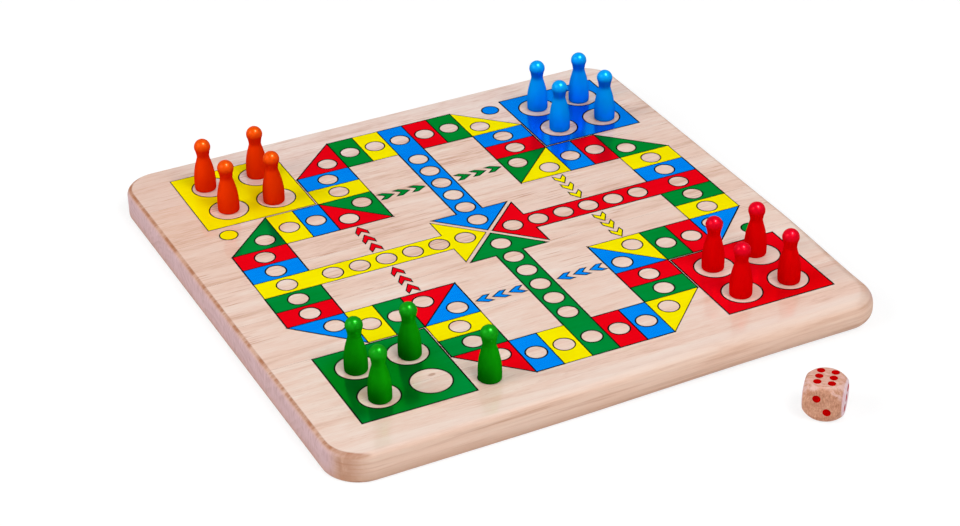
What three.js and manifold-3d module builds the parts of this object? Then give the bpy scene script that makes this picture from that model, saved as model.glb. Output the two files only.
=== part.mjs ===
// Flying-chess game set: a square wooden board glued up from staves, with rounded
// corners and edges, sixteen turned pawns standing on its printed top face, and a
// wooden die lying in front of it.
// Units are millimetres. +Z is up, +X runs along the front edge to the right and -Y
// is the near side. The origin is the centre of the board's underside.
import * as THREE from "three";
import { mergeVertices } from "three/addons/utils/BufferGeometryUtils.js";
import Module from "manifold-3d";

// Board
const BOARD_WIDTH = 300;
const BOARD_DEPTH = 300;
const BOARD_THICKNESS = 16;
const CORNER_RADIUS = 19.5;
const EDGE_RADIUS = 3;
const STAVE_COUNT = 7;
const GLUE_LINE = 0.1;

// Printed pattern on the top face: a square, a little off centre and a little turned
const PRINT_BORDER = 20.8;
const PRINT_SHIFT_X = 3.9;
const PRINT_SHIFT_Y = 3.2;
const PRINT_TURN_DEGREES = -0.7;

// Circles of the corner bases, and the start spots beside them, from the print's edges
const CIRCLE_INSET = 16.4;
const CIRCLE_PITCH = 27.1;
const SPOT_INSET = 6.7;
const SPOT_ALONG = 68.7;

// Pawn, a turned skittle with a ball head
const PAWN_HEIGHT = 29.8;
const PAWN_BASE_DIAMETER = 11.6;
const PAWN_NECK_DIAMETER = 6.4;
const PAWN_HEAD_DIAMETER = 8.8;
const PAWN_BELLY = 0.6;
const PAWN_BELLY_HEIGHT = 11.9;
const PAWN_SHOULDER_HEIGHT = 16.4;
const PAWN_NECK_HEIGHT = 20.2;
const PAWN_FOOT_RADIUS = 0.8;
const PAWN_FACETS = 16;

// Die, lying flat on the table in front of the board
const DIE_SIDE = 20;
const DIE_BALL_DIAMETER = 26;
const DIE_FACETS = 32;
const DIE_FROM_FRONT = 49.7;
const DIE_FROM_RIGHT = 70.6;
const DIE_TURN_DEGREES = -44;

// Smoothness of the round stretches
const CORNER_STEPS = 8;
const EDGE_STEPS = 3;
const BODY_STEPS = 4;
const HEAD_STEPS = 5;

// Finishes
const WOOD = { color: 0xe4cdbc, roughness: 0.42 };
const DIE_WOOD = { color: 0xcd9678, roughness: 0.6 };
const PAINTS = {
  orange: { color: 0xe64600, roughness: 0.2 },
  blue: { color: 0x0078eb, roughness: 0.2 },
  red: { color: 0xcd0000, roughness: 0.2 },
  green: { color: 0x009100, roughness: 0.2 },
};

// The sixteen places. A base is a corner of the print, as a pair of signs; a circle is
// counted from the outer corner, along X and Y; byHand is how far off the middle of
// the circle the pawn was put down.
const PLACES = [
  { paint: "orange", base: [-1, 1], circle: [0, 0], byHand: [-2.9, 0.6] },
  { paint: "orange", base: [-1, 1], circle: [1, 0], byHand: [0.1, 1] },
  { paint: "orange", base: [-1, 1], circle: [0, 1], byHand: [-0.2, -0.4] },
  { paint: "orange", base: [-1, 1], circle: [1, 1], byHand: [-2.2, -2.5] },
  { paint: "blue", base: [1, 1], circle: [1, 0], byHand: [-0.1, -0.8] },
  { paint: "blue", base: [1, 1], circle: [0, 0], byHand: [-1.6, -2.9] },
  { paint: "blue", base: [1, 1], circle: [1, 1], byHand: [-0.2, -1.5] },
  { paint: "blue", base: [1, 1], circle: [0, 1], byHand: [1, -2.1] },
  { paint: "red", base: [1, -1], circle: [1, 1], byHand: [-1.1, -0.6] },
  { paint: "red", base: [1, -1], circle: [0, 1], byHand: [-1.7, 1.8] },
  { paint: "red", base: [1, -1], circle: [1, 0], byHand: [-1.8, -1.9] },
  { paint: "red", base: [1, -1], circle: [0, 0], byHand: [-0.7, -1.9] },
  { paint: "green", base: [-1, -1], circle: [0, 1], byHand: [-1, -2.3] },
  { paint: "green", base: [-1, -1], circle: [1, 1], byHand: [0.1, -2.5] },
  { paint: "green", base: [-1, -1], circle: [0, 0], byHand: [-0.6, -2.7] },
  { paint: "green", base: [-1, -1], circle: null, byHand: [0.3, -1.8] },
];

const wasm = await Module();
wasm.setup();

// A closed geometry as a solid that can be cut.
function solidOf(geometry) {
  const bare = geometry.clone();
  bare.deleteAttribute("normal");
  bare.deleteAttribute("uv");
  const welded = mergeVertices(bare, 1e-4);
  return new wasm.Manifold(
    new wasm.Mesh({
      numProp: 3,
      vertProperties: new Float32Array(welded.attributes.position.array),
      triVerts: new Uint32Array(welded.index.array),
    }),
  );
}

// A cut solid as a geometry again.
function geometryOf(solid) {
  const mesh = solid.getMesh();
  const geometry = new THREE.BufferGeometry();
  geometry.setAttribute("position", new THREE.BufferAttribute(mesh.vertProperties, 3));
  geometry.setIndex(new THREE.BufferAttribute(mesh.triVerts, 1));
  return geometry;
}

function materialOf(finish) {
  return new THREE.MeshStandardMaterial({ ...finish, metalness: 0 });
}

// The board's outline, drawn in by the edge radius on every side.
function boardOutline() {
  const x = BOARD_WIDTH / 2 - EDGE_RADIUS;
  const y = BOARD_DEPTH / 2 - EDGE_RADIUS;
  const r = CORNER_RADIUS - EDGE_RADIUS;
  const outline = new THREE.Shape();
  outline.absarc(x - r, y - r, r, 0, Math.PI / 2);
  outline.absarc(-x + r, y - r, r, Math.PI / 2, Math.PI);
  outline.absarc(-x + r, -y + r, r, Math.PI, 1.5 * Math.PI);
  outline.absarc(x - r, -y + r, r, 1.5 * Math.PI, 2 * Math.PI);
  return outline;
}

// The whole board: the outline raised, with its upper and lower edges rounded over.
function boardSolid() {
  const slab = new THREE.ExtrudeGeometry(boardOutline(), {
    depth: BOARD_THICKNESS - 2 * EDGE_RADIUS,
    curveSegments: CORNER_STEPS,
    bevelThickness: EDGE_RADIUS,
    bevelSize: EDGE_RADIUS,
    bevelSegments: EDGE_STEPS,
  });
  slab.translate(0, 0, EDGE_RADIUS);
  return solidOf(slab);
}

// The staves run along X, side by side, with a film of glue between them.
function makeStaves() {
  const board = boardSolid();
  const pitch = BOARD_DEPTH / STAVE_COUNT;
  const finish = materialOf(WOOD);
  const staves = new THREE.Group();
  for (let i = 0; i < STAVE_COUNT; i += 1) {
    const cut = new THREE.BoxGeometry(2 * BOARD_WIDTH, pitch - GLUE_LINE, 2 * BOARD_THICKNESS);
    cut.translate(0, (i + 0.5) * pitch - BOARD_DEPTH / 2, BOARD_THICKNESS / 2);
    const stave = new THREE.Mesh(geometryOf(board.intersect(solidOf(cut))), finish);
    stave.name = `board_stave_${i + 1}`;
    staves.add(stave);
  }
  return staves;
}

// Half the outline of a pawn, from the middle of its foot to the top of its head.
function pawnProfile() {
  const base = PAWN_BASE_DIAMETER / 2;
  const neck = PAWN_NECK_DIAMETER / 2;
  const head = PAWN_HEAD_DIAMETER / 2;
  const headCentre = PAWN_HEIGHT - head;
  const belly = base + PAWN_BELLY;
  const shoulder = neck + PAWN_BELLY;
  const nape = -Math.acos(neck / head);
  const foot = PAWN_FOOT_RADIUS;
  const path = new THREE.Path();
  path.moveTo(0, 0);
  path.lineTo(base - foot, 0);
  path.absarc(base - foot, foot, foot, -Math.PI / 2, 0);
  const footPoints = path.getPoints(2);
  const body = new THREE.CubicBezierCurve(
    new THREE.Vector2(base, foot),
    new THREE.Vector2(belly, PAWN_BELLY_HEIGHT),
    new THREE.Vector2(shoulder, PAWN_SHOULDER_HEIGHT),
    new THREE.Vector2(neck, PAWN_NECK_HEIGHT),
  );
  const ball = [];
  for (let i = 0; i < HEAD_STEPS; i += 1) {
    const angle = nape + ((Math.PI / 2 - nape) * i) / HEAD_STEPS;
    ball.push(new THREE.Vector2(head * Math.cos(angle), headCentre + head * Math.sin(angle)));
  }
  const crown = new THREE.Vector2(0, PAWN_HEIGHT);
  return [...footPoints, ...body.getPoints(BODY_STEPS).slice(1), ...ball, crown];
}

// A point of the print, given from the print's centre, as a point of the board's frame.
function onBoard(x, y) {
  const turn = THREE.MathUtils.degToRad(PRINT_TURN_DEGREES);
  const point = new THREE.Vector2(x, y).rotateAround(new THREE.Vector2(), turn);
  return point.add(new THREE.Vector2(PRINT_SHIFT_X, PRINT_SHIFT_Y));
}

// Where a pawn stands: on a circle of its base, or on the start spot beside the base.
function standingPoint({ base, circle, byHand }) {
  const halfX = BOARD_WIDTH / 2 - PRINT_BORDER;
  const halfY = BOARD_DEPTH / 2 - PRINT_BORDER;
  const inX = circle ? CIRCLE_INSET + circle[0] * CIRCLE_PITCH : SPOT_ALONG;
  const inY = circle ? CIRCLE_INSET + circle[1] * CIRCLE_PITCH : SPOT_INSET;
  const x = base[0] * (halfX - inX) + byHand[0];
  const y = base[1] * (halfY - inY) + byHand[1];
  return onBoard(x, y);
}

function makePawns() {
  const turned = new THREE.LatheGeometry(pawnProfile(), PAWN_FACETS);
  turned.rotateX(Math.PI / 2);
  const finishes = {};
  const count = {};
  const pawns = new THREE.Group();
  pawns.position.z = BOARD_THICKNESS;
  for (const place of PLACES) {
    const { paint } = place;
    finishes[paint] ??= materialOf(PAINTS[paint]);
    count[paint] = (count[paint] ?? 0) + 1;
    const pawn = new THREE.Mesh(turned, finishes[paint]);
    const { x, y } = standingPoint(place);
    pawn.position.set(x, y, 0);
    pawn.name = `pawn_${paint}_${count[paint]}`;
    pawns.add(pawn);
  }
  return pawns;
}

// A tumbled wooden cube, its edges and corners worn down to a ball.
function dieGeometry() {
  const cube = new THREE.BoxGeometry(DIE_SIDE, DIE_SIDE, DIE_SIDE);
  const ball = new THREE.SphereGeometry(DIE_BALL_DIAMETER / 2, DIE_FACETS, DIE_FACETS / 2);
  return geometryOf(solidOf(cube).intersect(solidOf(ball)));
}

function makeDie() {
  const die = new THREE.Mesh(dieGeometry(), materialOf(DIE_WOOD));
  die.name = "die";
  const x = BOARD_WIDTH / 2 - DIE_FROM_RIGHT;
  const y = -BOARD_DEPTH / 2 - DIE_FROM_FRONT;
  die.position.set(x, y, DIE_SIDE / 2);
  die.rotation.z = THREE.MathUtils.degToRad(DIE_TURN_DEGREES);
  return die;
}

const gameSet = new THREE.Group();
gameSet.add(makeStaves(), makePawns(), makeDie());

export default gameSet;
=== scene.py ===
"""Flying-chess set: a lacquered wooden board with a printed track, sixteen pawns and a die.

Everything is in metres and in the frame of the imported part. The origin is the centre of the
board's underside, +Z is up, +X runs to the right along the front edge and -Y is the near side.
"""

import logging
import math
from collections.abc import Mapping, Sequence
from dataclasses import dataclass, field
from enum import Enum

import bmesh
import bpy
from mathutils import Matrix, Vector
from mathutils.geometry import delaunay_2d_cdt


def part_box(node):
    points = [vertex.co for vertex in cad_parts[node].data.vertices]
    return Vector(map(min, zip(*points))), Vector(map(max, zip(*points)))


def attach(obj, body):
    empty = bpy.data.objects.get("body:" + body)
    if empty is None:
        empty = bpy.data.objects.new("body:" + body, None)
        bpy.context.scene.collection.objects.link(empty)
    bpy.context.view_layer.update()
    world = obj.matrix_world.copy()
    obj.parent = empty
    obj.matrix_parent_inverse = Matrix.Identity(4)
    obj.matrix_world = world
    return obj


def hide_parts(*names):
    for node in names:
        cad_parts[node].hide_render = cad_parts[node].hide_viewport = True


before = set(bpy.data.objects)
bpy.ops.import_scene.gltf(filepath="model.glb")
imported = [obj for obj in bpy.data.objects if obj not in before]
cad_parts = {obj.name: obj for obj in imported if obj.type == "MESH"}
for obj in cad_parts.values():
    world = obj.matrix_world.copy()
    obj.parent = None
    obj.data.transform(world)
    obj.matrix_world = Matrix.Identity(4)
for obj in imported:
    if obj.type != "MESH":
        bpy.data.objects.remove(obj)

log = logging.getLogger("game_set")

MM = 0.001

# The angles from which an edge is sharp, on most pieces and on turned ones.
SHARP_DEGREES = 35
TURNED_SHARP_DEGREES = 60

Point = tuple[float, float]
Outline = tuple[Point, ...]
Colour = tuple[float, float, float, float]
Socket = bpy.types.NodeSocket


# Small tools


def paint(red: int, green: int, blue: int) -> Colour:
    """Turns a colour as it is seen on a screen into the linear one that a shader takes.

    Args:
        red: Red, 0 to 255.
        green: Green, 0 to 255.
        blue: Blue, 0 to 255.

    Returns:
        The linear colour, with an alpha of 1.
    """

    def line(value: int) -> float:
        """Returns one channel, made linear."""
        share = value / 255
        return share / 12.92 if share <= 0.04045 else ((share + 0.055) / 1.055) ** 2.4

    return (line(red), line(green), line(blue), 1.0)


def smooth_step(value: float, low: float, high: float) -> float:
    """Returns a smooth step, 0 before low and 1 after high."""
    share = min(max((value - low) / (high - low), 0.0), 1.0)
    return share * share * (3 - 2 * share)


def new_piece(
    name: str,
    points: Sequence[Sequence[float]],
    faces: Sequence[Sequence[int]],
    sharp_degrees: float = SHARP_DEGREES,
) -> bpy.types.Object:
    """Makes a piece from its corners and faces, smooth but for its sharp edges.

    Args:
        name: The piece's name.
        points: The corners, in metres.
        faces: The faces, as numbers of corners.
        sharp_degrees: The angle from which an edge is sharp.

    Returns:
        The piece, linked to the scene.
    """
    mesh = bpy.data.meshes.new(name)
    mesh.from_pydata([tuple(p) for p in points], [], [tuple(f) for f in faces])
    return finish_piece(name, mesh, sharp_degrees)


def finish_piece(
    name: str, mesh: bpy.types.Mesh, sharp_degrees: float = SHARP_DEGREES
) -> bpy.types.Object:
    """Links a mesh to the scene as a piece, with smooth faces and sharp edges.

    Args:
        name: The piece's name.
        mesh: The mesh.
        sharp_degrees: The angle from which an edge is sharp.

    Returns:
        The piece.
    """
    mesh.validate()
    mesh.update()
    mesh.shade_smooth()
    mesh.set_sharp_from_angle(angle=math.radians(sharp_degrees))
    piece = bpy.data.objects.new(name, mesh)
    bpy.context.scene.collection.objects.link(piece)
    return piece


def hand_over(
    piece: bpy.types.Object,
    body: str,
    material: bpy.types.Material,
    nodes: Sequence[str] = (),
) -> None:
    """Dresses a finished piece and makes it ride on its body.

    Args:
        piece: The piece.
        body: The body that carries it.
        material: Its material.
        nodes: The solids that it stands for.
    """
    piece.data.materials.clear()
    piece.data.materials.append(material)
    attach(piece, body)
    if nodes:
        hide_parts(*nodes)
    log.info("%s: %d faces, rides on %s", piece.name, len(piece.data.polygons), body)


# Node benches


class Signal:
    """A shader value that takes part in sums: each operator adds one Math node."""

    def __init__(self, bench: "ShaderBench", socket: Socket) -> None:
        """Keeps the bench and the socket."""
        self.bench = bench
        self.socket = socket

    def math(self, operation: str, *others: "float | Signal", first: bool = True) -> "Signal":
        """Adds one Math node.

        Args:
            operation: The Math node's operation.
            others: The node's other values.
            first: Whether this signal is the node's first value.

        Returns:
            The result.
        """
        values = (self, *others) if first else (*others, self)
        sockets = dict(enumerate(values))
        node = self.bench.add("Math", {"operation": operation}, sockets)
        return Signal(self.bench, node.outputs[0])

    def __add__(self, other: "float | Signal") -> "Signal":
        """Returns the sum."""
        return self.math("ADD", other)

    __radd__ = __add__

    def __sub__(self, other: "float | Signal") -> "Signal":
        """Returns this less the other."""
        return self.math("SUBTRACT", other)

    def __rsub__(self, other: "float | Signal") -> "Signal":
        """Returns the other less this."""
        return self.math("SUBTRACT", other, first=False)

    def __mul__(self, other: "float | Signal") -> "Signal":
        """Returns the product."""
        return self.math("MULTIPLY", other)

    __rmul__ = __mul__

    def __truediv__(self, other: "float | Signal") -> "Signal":
        """Returns this over the other."""
        return self.math("DIVIDE", other)

    def __pow__(self, other: "float | Signal") -> "Signal":
        """Returns this to the power of the other."""
        return self.math("POWER", other)

    def fract(self) -> "Signal":
        """Returns the part behind the point."""
        return self.math("FRACT")

    def magnitude(self) -> "Signal":
        """Returns the value without its sign."""
        return self.math("ABSOLUTE")

    def rise(self, low: "float | Signal", high: "float | Signal") -> "Signal":
        """Adds a smooth step.

        Args:
            low: The value below which the step is 0.
            high: The value above which it is 1.

        Returns:
            The step.
        """
        node = self.bench.add(
            "MapRange",
            {"interpolation_type": "SMOOTHSTEP"},
            {"Value": self, "From Min": low, "From Max": high},
        )
        return Signal(self.bench, node.outputs[0])


class Bench:
    """A node tree on the bench, with the one call that adds a node to it."""

    prefix = ""

    def __init__(self, tree: bpy.types.NodeTree) -> None:
        """Keeps the tree."""
        self.tree = tree

    def add(
        self,
        kind: str,
        settings: Mapping[str, object] | None = None,
        sockets: Mapping[str | int, object] | None = None,
    ) -> bpy.types.Node:
        """Adds a node, sets its settings first and then feeds its sockets.

        Args:
            kind: The node's type, without the family's prefix unless it has another.
            settings: The node's settings. One named stops holds a colour ramp's stops.
            sockets: A value, a signal or another node's socket, by socket name or number.

        Returns:
            The node.
        """
        families = ("ShaderNode", "FunctionNode", "NodeGroup")
        node = self.tree.nodes.new(kind if kind.startswith(families) else self.prefix + kind)
        for name, value in (settings or {}).items():
            if name == "stops":
                self.set_stops(node.color_ramp, value)
            else:
                setattr(node, name, value)
        for key, feed in (sockets or {}).items():
            if isinstance(feed, Signal):
                feed = feed.socket
            if isinstance(feed, bpy.types.NodeSocket):
                self.tree.links.new(feed, node.inputs[key])
            else:
                node.inputs[key].default_value = feed
        return node

    @staticmethod
    def set_stops(ramp: bpy.types.ColorRamp, stops: Sequence[tuple[float, Colour]]) -> None:
        """Gives a colour ramp its stops.

        Args:
            ramp: The colour ramp.
            stops: The place and the colour of each stop, of which there are two or more.
        """
        while len(ramp.elements) < len(stops):
            ramp.elements.new(0.5)
        for element, (place, colour) in zip(ramp.elements, stops):
            element.position = place
            element.color = colour


class ShaderBench(Bench):
    """A new material or a sky on the bench."""

    prefix = "ShaderNode"

    def __init__(self, owner: bpy.types.Material | bpy.types.World) -> None:
        """Puts a material or a sky on the bench, without its nodes.

        Args:
            owner: The material or the sky.
        """
        owner.use_nodes = True
        super().__init__(owner.node_tree)
        self.tree.nodes.clear()
        self.owner = owner

    @classmethod
    def named(cls, name: str) -> "ShaderBench":
        """Returns a bench with a new material of that name on it."""
        return cls(bpy.data.materials.new(name))

    def place(self, move: Sequence[float] = (0, 0, 0), turn: Sequence[float] = (0, 0, 0)) -> Socket:
        """Turns the object's own coordinates and then moves them.

        Args:
            move: How far they are moved, in metres.
            turn: The angles by which they are turned, in radians.

        Returns:
            The coordinates.
        """
        source = self.add("TexCoord").outputs["Object"]
        sockets = {"Vector": source, "Location": tuple(move), "Rotation": tuple(turn)}
        return self.add("Mapping", None, sockets).outputs[0]

    def normal(self) -> Socket:
        """Returns the way that the surface faces, on the object's own axes."""
        return self.add("TexCoord").outputs["Normal"]

    def noise(
        self, place: Socket, pitch: Sequence[float], detail: float = 2, rough: float = 0.5
    ) -> Signal:
        """Adds noise, stretched to a grain.

        Args:
            place: The coordinates, in metres.
            pitch: The size of the noise's marks along each axis, in metres.
            detail: How many finer noises it holds.
            rough: How strong those are.

        Returns:
            The noise, 0 to 1 and mostly near one half.
        """
        scale = tuple(1 / step for step in pitch)
        vector = self.add("Mapping", None, {"Vector": place, "Scale": scale})
        sockets = {"Vector": vector.outputs[0], "Scale": 1.0, "Detail": detail, "Roughness": rough}
        return Signal(self, self.add("TexNoise", None, sockets).outputs[0])

    def axes(self, vector: Socket) -> tuple[Signal, Signal, Signal]:
        """Returns a vector's three parts."""
        node = self.add("SeparateXYZ", None, {0: vector})
        return tuple(Signal(self, output) for output in node.outputs)

    def blend(self, share: Signal, low: Socket | Colour, high: Socket | Colour) -> Socket:
        """Mixes two colours.

        Args:
            share: The share of the second colour.
            low: The first colour.
            high: The second colour.

        Returns:
            The mixed colour.
        """
        settings = {"data_type": "RGBA", "blend_type": "MIX", "clamp_factor": True}
        factor, first, second, mixed = 0, 6, 7, 2
        node = self.add("Mix", settings, {factor: share, first: low, second: high})
        return node.outputs[mixed]

    def ramp(self, share: Signal, *stops: tuple[float, Colour]) -> Socket:
        """Returns the colour of a ramp."""
        return self.add("ValToRGB", {"stops": stops}, {0: share}).outputs[0]

    def bump(self, height: Signal, strength: float, distance: float) -> Socket:
        """Returns the normal of a surface with that relief."""
        sockets = {"Height": height, "Strength": strength, "Distance": distance}
        return self.add("Bump", None, sockets).outputs[0]

    def surface(self, **sockets: object) -> bpy.types.Material:
        """Ends the material in one Principled shader, its sockets named with underscores.

        Args:
            sockets: Values and links, Base_Color for Base Color and so on.

        Returns:
            The material.
        """
        feeds = {name.replace("_", " "): feed for name, feed in sockets.items()}
        shader = self.add("BsdfPrincipled", None, feeds)
        self.add("OutputMaterial", None, {"Surface": shader.outputs[0]})
        return self.owner


class GeometryBench(Bench):
    """A new Geometry Nodes tree on the bench, with named inputs."""

    prefix = "GeometryNode"

    def __init__(self, name: str, inputs: Mapping[str, str]) -> None:
        """Makes a tree that takes a geometry and the named inputs, and gives a geometry.

        Args:
            name: The tree's name.
            inputs: The kind of socket for each name, Float, Int, Vector or Material.
        """
        super().__init__(bpy.data.node_groups.new(name, "GeometryNodeTree"))
        face = self.tree.interface
        face.new_socket(name="Geometry", in_out="INPUT", socket_type="NodeSocketGeometry")
        self.keys = {
            key: face.new_socket(
                name=key, in_out="INPUT", socket_type="NodeSocket" + kind
            ).identifier
            for key, kind in inputs.items()
        }
        face.new_socket(name="Geometry", in_out="OUTPUT", socket_type="NodeSocketGeometry")
        self.given = self.add("NodeGroupInput").outputs

    def end(self, instances: Socket) -> None:
        """Ends the tree in plain geometry with its material on it.

        Args:
            instances: The instances that the tree has laid out.
        """
        real = self.add("RealizeInstances", None, {"Geometry": instances}).outputs[0]
        sockets = {"Geometry": real, "Material": self.given["Material"]}
        dressed = self.add("SetMaterial", None, sockets).outputs[0]
        self.add("NodeGroupOutput", None, {"Geometry": dressed})

    def grow(self, piece: bpy.types.Object, **values: object) -> None:
        """Runs the tree on a piece and keeps what it makes as the piece's plain mesh.

        Args:
            piece: The piece whose mesh goes into the tree.
            values: The inputs, Line_Width for Line Width and so on.
        """
        modifier = piece.modifiers.new("made", "NODES")
        modifier.node_group = self.tree
        for name, value in values.items():
            modifier[self.keys[name.replace("_", " ")]] = value
        depsgraph = bpy.context.evaluated_depsgraph_get()
        made = bpy.data.meshes.new_from_object(piece.evaluated_get(depsgraph))
        piece.modifiers.clear()
        made.name = piece.name
        piece.data = made


# Finishes


@dataclass(frozen=True)
class WoodFinish:
    """Planed wood under clear lacquer.

    The log's own axes have x along the grain, and its heart at 0.

    Attributes:
        name: The material's name.
        pale: The early wood's colour.
        middle: The colour between the two.
        dark: The late wood's colour.
        end: The end grain's colour.
        end_dark: The colour of the end grain's darker hairs.
        side: The paler colour of the long sides.
        side_dark: The colour of the bands that run along them.
        burnt: The colour where the sander has cut across the grain, on the rounded edges.
        low: The colour of the painted shade that darkens the lower edge.
        blush: The colour of the reddish streaks.
        knotted: The colour of a pin knot.
        stained: The colour of the left end's stain.
        move: How far the log's axes are moved from the board's.
        turn: How they are turned, in degrees.
        ring: The width of a year's ring, in metres.
        tone: How dark the piece is, 0 to 1.
        figure: How strongly the rings show.
        grain: How strongly the fibres show.
        wander: How far the rings stray, in metres.
        streaks: How many reddish streaks it has, 0 to 1.
        sap_and_highlight: How far off the board's middle the pale sapwood and a painted highlight
            start, in metres.
        sap_and_highlight_fade: Over which width they do so, in metres.
        stain: How brown its left end is, 0 to 1.
        stain_reach: How far off the middle the stain starts and is full, in metres.
        low_shade_reach: The heights at which the painted shade of the lower edge is full and gone,
            in metres.
        knot: The place of a pin knot, seen from above, in metres.
        knot_reach: How far a knot reaches along the grain and across it, in metres.
    """

    name: str
    pale: Colour = paint(239, 218, 205)
    middle: Colour = paint(232, 196, 177)
    dark: Colour = paint(192, 136, 106)
    end: Colour = paint(214, 181, 187)
    end_dark: Colour = paint(190, 152, 154)
    side: Colour = paint(243, 210, 189)
    side_dark: Colour = paint(208, 158, 128)
    burnt: Colour = paint(167, 102, 62)
    low: Colour = paint(192, 144, 116)
    blush: Colour = paint(204, 152, 128)
    knotted: Colour = paint(170, 114, 80)
    stained: Colour = paint(216, 164, 132)
    move: tuple[float, float, float] = (0, 0, 0)
    turn: tuple[float, float, float] = (0, 0, 0)
    ring: float = 3.2 * MM
    tone: float = 0.3
    figure: float = 0.5
    grain: float = 1.0
    wander: float = 7 * MM
    streaks: float = 0.4
    sap_and_highlight: float = 0.2
    sap_and_highlight_fade: float = 7 * MM
    stain: float = 0.0
    stain_reach: Point = (0.085, 0.135)
    low_shade_reach: Point = (-1 * MM, 8.5 * MM)
    knot: Point | None = None
    knot_reach: Point = (2.6 * MM, 1.3 * MM)

    def material(self) -> bpy.types.Material:
        """Mixes the wood's colours, its fibres' relief and the lacquer on it.

        Returns:
            The material.
        """
        bench = ShaderBench.named(self.name)
        turn = [math.radians(angle) for angle in self.turn]
        log_place = bench.place(self.move, turn)
        late = self.rings(bench, log_place)
        fibre = bench.noise(log_place, (0.020, 0.0015, 0.0015), 3, 0.6)
        fine = bench.noise(log_place, (0.009, 0.0008, 0.0008), 3, 0.6)
        hair = bench.noise(log_place, (0.007, 0.00045, 0.00045), 2, 0.6)
        pore = bench.noise(log_place, (0.0055, 0.0004, 0.0004), 1).rise(0.66, 0.76)
        fibres = (fibre - 0.5) * 0.7 + (fine - 0.5) * 1.05 + (hair - 0.5) * 0.45
        colour = self.planed(bench, log_place, late * self.figure + fibres * self.grain)
        if self.knot:
            colour = self.with_knot(bench, colour, self.knot)
        colour = bench.blend(pore * 0.30, colour, self.dark)
        colour = self.edges(bench, colour, late)
        return bench.surface(
            Base_Color=colour,
            Roughness=0.40 + fibre * 0.2,
            Specular_IOR_Level=0.04,
            Coat_Weight=(0.85 + hair * 0.25) * self.lacquer(bench),
            Coat_Roughness=0.12,
            Normal=bench.bump(hair * 0.5 - pore, 0.08, 0.0002),
        )

    def planed(self, bench: ShaderBench, log_place: Socket, share: Signal) -> Socket:
        """Colours the planed wood, with clouds, broad bands and reddish streaks.

        Args:
            bench: The bench.
            log_place: The log's own coordinates.
            share: How dark the rings and the fibres make it.

        Returns:
            The colour.
        """
        cloud = bench.noise(log_place, (0.05, 0.012, 0.012), 2)
        broad = bench.noise(log_place, (0.16, 0.0065, 0.0065), 1)
        share = share + (broad - 0.5) * 0.6
        share = share + (cloud - 0.5) * 0.6 + self.tone
        colour = bench.ramp(share, (0.0, self.pale), (0.45, self.middle), (1.0, self.dark))
        streak = bench.noise(log_place, (0.020, 0.0010, 0.0010), 2).rise(0.56, 0.70)
        patch = bench.noise(log_place, (0.04, 0.014, 0.014), 1).rise(0.40, 0.62)
        return bench.blend(streak * patch * self.streaks, colour, self.blush)

    def rings(self, bench: ShaderBench, log_place: Socket) -> Signal:
        """Works out how much late wood there is, in rings that stray and fade.

        Args:
            bench: The bench.
            log_place: The log's own coordinates.

        Returns:
            The share of late wood.
        """
        _, across, deep = bench.axes(log_place)
        stray = bench.noise(log_place, (0.11, 0.03, 0.03), 2) - 0.5
        drift = bench.noise(log_place, (0.30, 0.05, 0.05), 1) - 0.5
        radius = (across * across + deep * deep) ** 0.5
        years = (radius + stray * self.wander + drift * (2 * self.wander)) / self.ring
        season = years.fract()
        late = season.rise(0.15, 0.90) * (1 - season.rise(0.90, 1.0))
        return late * bench.noise(log_place, (0.20, 0.011, 0.011), 1).rise(0.38, 0.64)

    @staticmethod
    def lacquer(bench: ShaderBench) -> Signal:
        """Returns how much lacquer is left: it is rubbed thin on the rounded edges."""
        _, _, up = bench.axes(bench.normal())
        return up.magnitude().rise(0.95, 1.0)

    def with_knot(self, bench: ShaderBench, colour: Socket, knot: Point) -> Socket:
        """Adds a pin knot, drawn out along the grain.

        Args:
            bench: The bench.
            colour: The colour of the wood round it.
            knot: The knot's place, in metres.

        Returns:
            The colour.
        """
        place = bench.place()
        along, across, _ = bench.axes(place)
        smear = (bench.noise(place, (0.003, 0.0016, 0.0016), 2) - 0.5) * 1.2
        off_along = (along - knot[0]) / self.knot_reach[0]
        off_across = (across - knot[1]) / self.knot_reach[1]
        reach = off_along**2 + off_across**2 + smear
        return bench.blend((1 - reach.rise(0.1, 1.1)) * 0.65, colour, self.knotted)

    def edges(self, bench: ShaderBench, colour: Socket, late: Signal) -> Socket:
        """Adds the sapwood and a painted highlight, the stain, the long sides, the end grain,
        the sanded edges and the painted shade along the lower edge.

        Args:
            bench: The bench.
            colour: The colour of the planed top.
            late: The share of late wood.

        Returns:
            The colour.
        """
        place = bench.place()
        place_along, across, height = bench.axes(place)
        along, away, up = bench.axes(bench.normal())
        cut = along.magnitude()
        side = 1 - up.magnitude().rise(0.45, 0.99)
        flank = 1 - up.magnitude().rise(0.1, 0.7)

        # Pale sapwood and a painted highlight near the front, and the stain near the left end
        sap_and_highlight = (across * -1).rise(self.sap_and_highlight, self.sap_and_highlight + self.sap_and_highlight_fade) * (1 - side)
        colour = bench.blend(sap_and_highlight * 0.55, colour, self.pale)
        stain = (place_along * -1).rise(*self.stain_reach) * self.stain
        colour = bench.blend(stain, colour, self.stained)

        # The long sides, with bands along them
        bands = bench.noise(place, (0.07, 0.05, 0.0019), 3, 0.6).rise(0.43, 0.74)
        bands = bands + place_along * 0.9
        colour = bench.blend(side * 0.62, colour, bench.blend(bands, self.side, self.side_dark))

        # The end grain
        hairs = bench.noise(place, (0.01, 0.0009, 0.008), 3, 0.6)
        darker = hairs.rise(0.36, 0.68) * 0.75 + late * 0.4
        faced = cut.rise(flank * 0.30 + 0.45, flank * 0.05 + 0.93)
        colour = bench.blend(faced * 0.9, colour, bench.blend(darker, self.end, self.end_dark))
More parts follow.
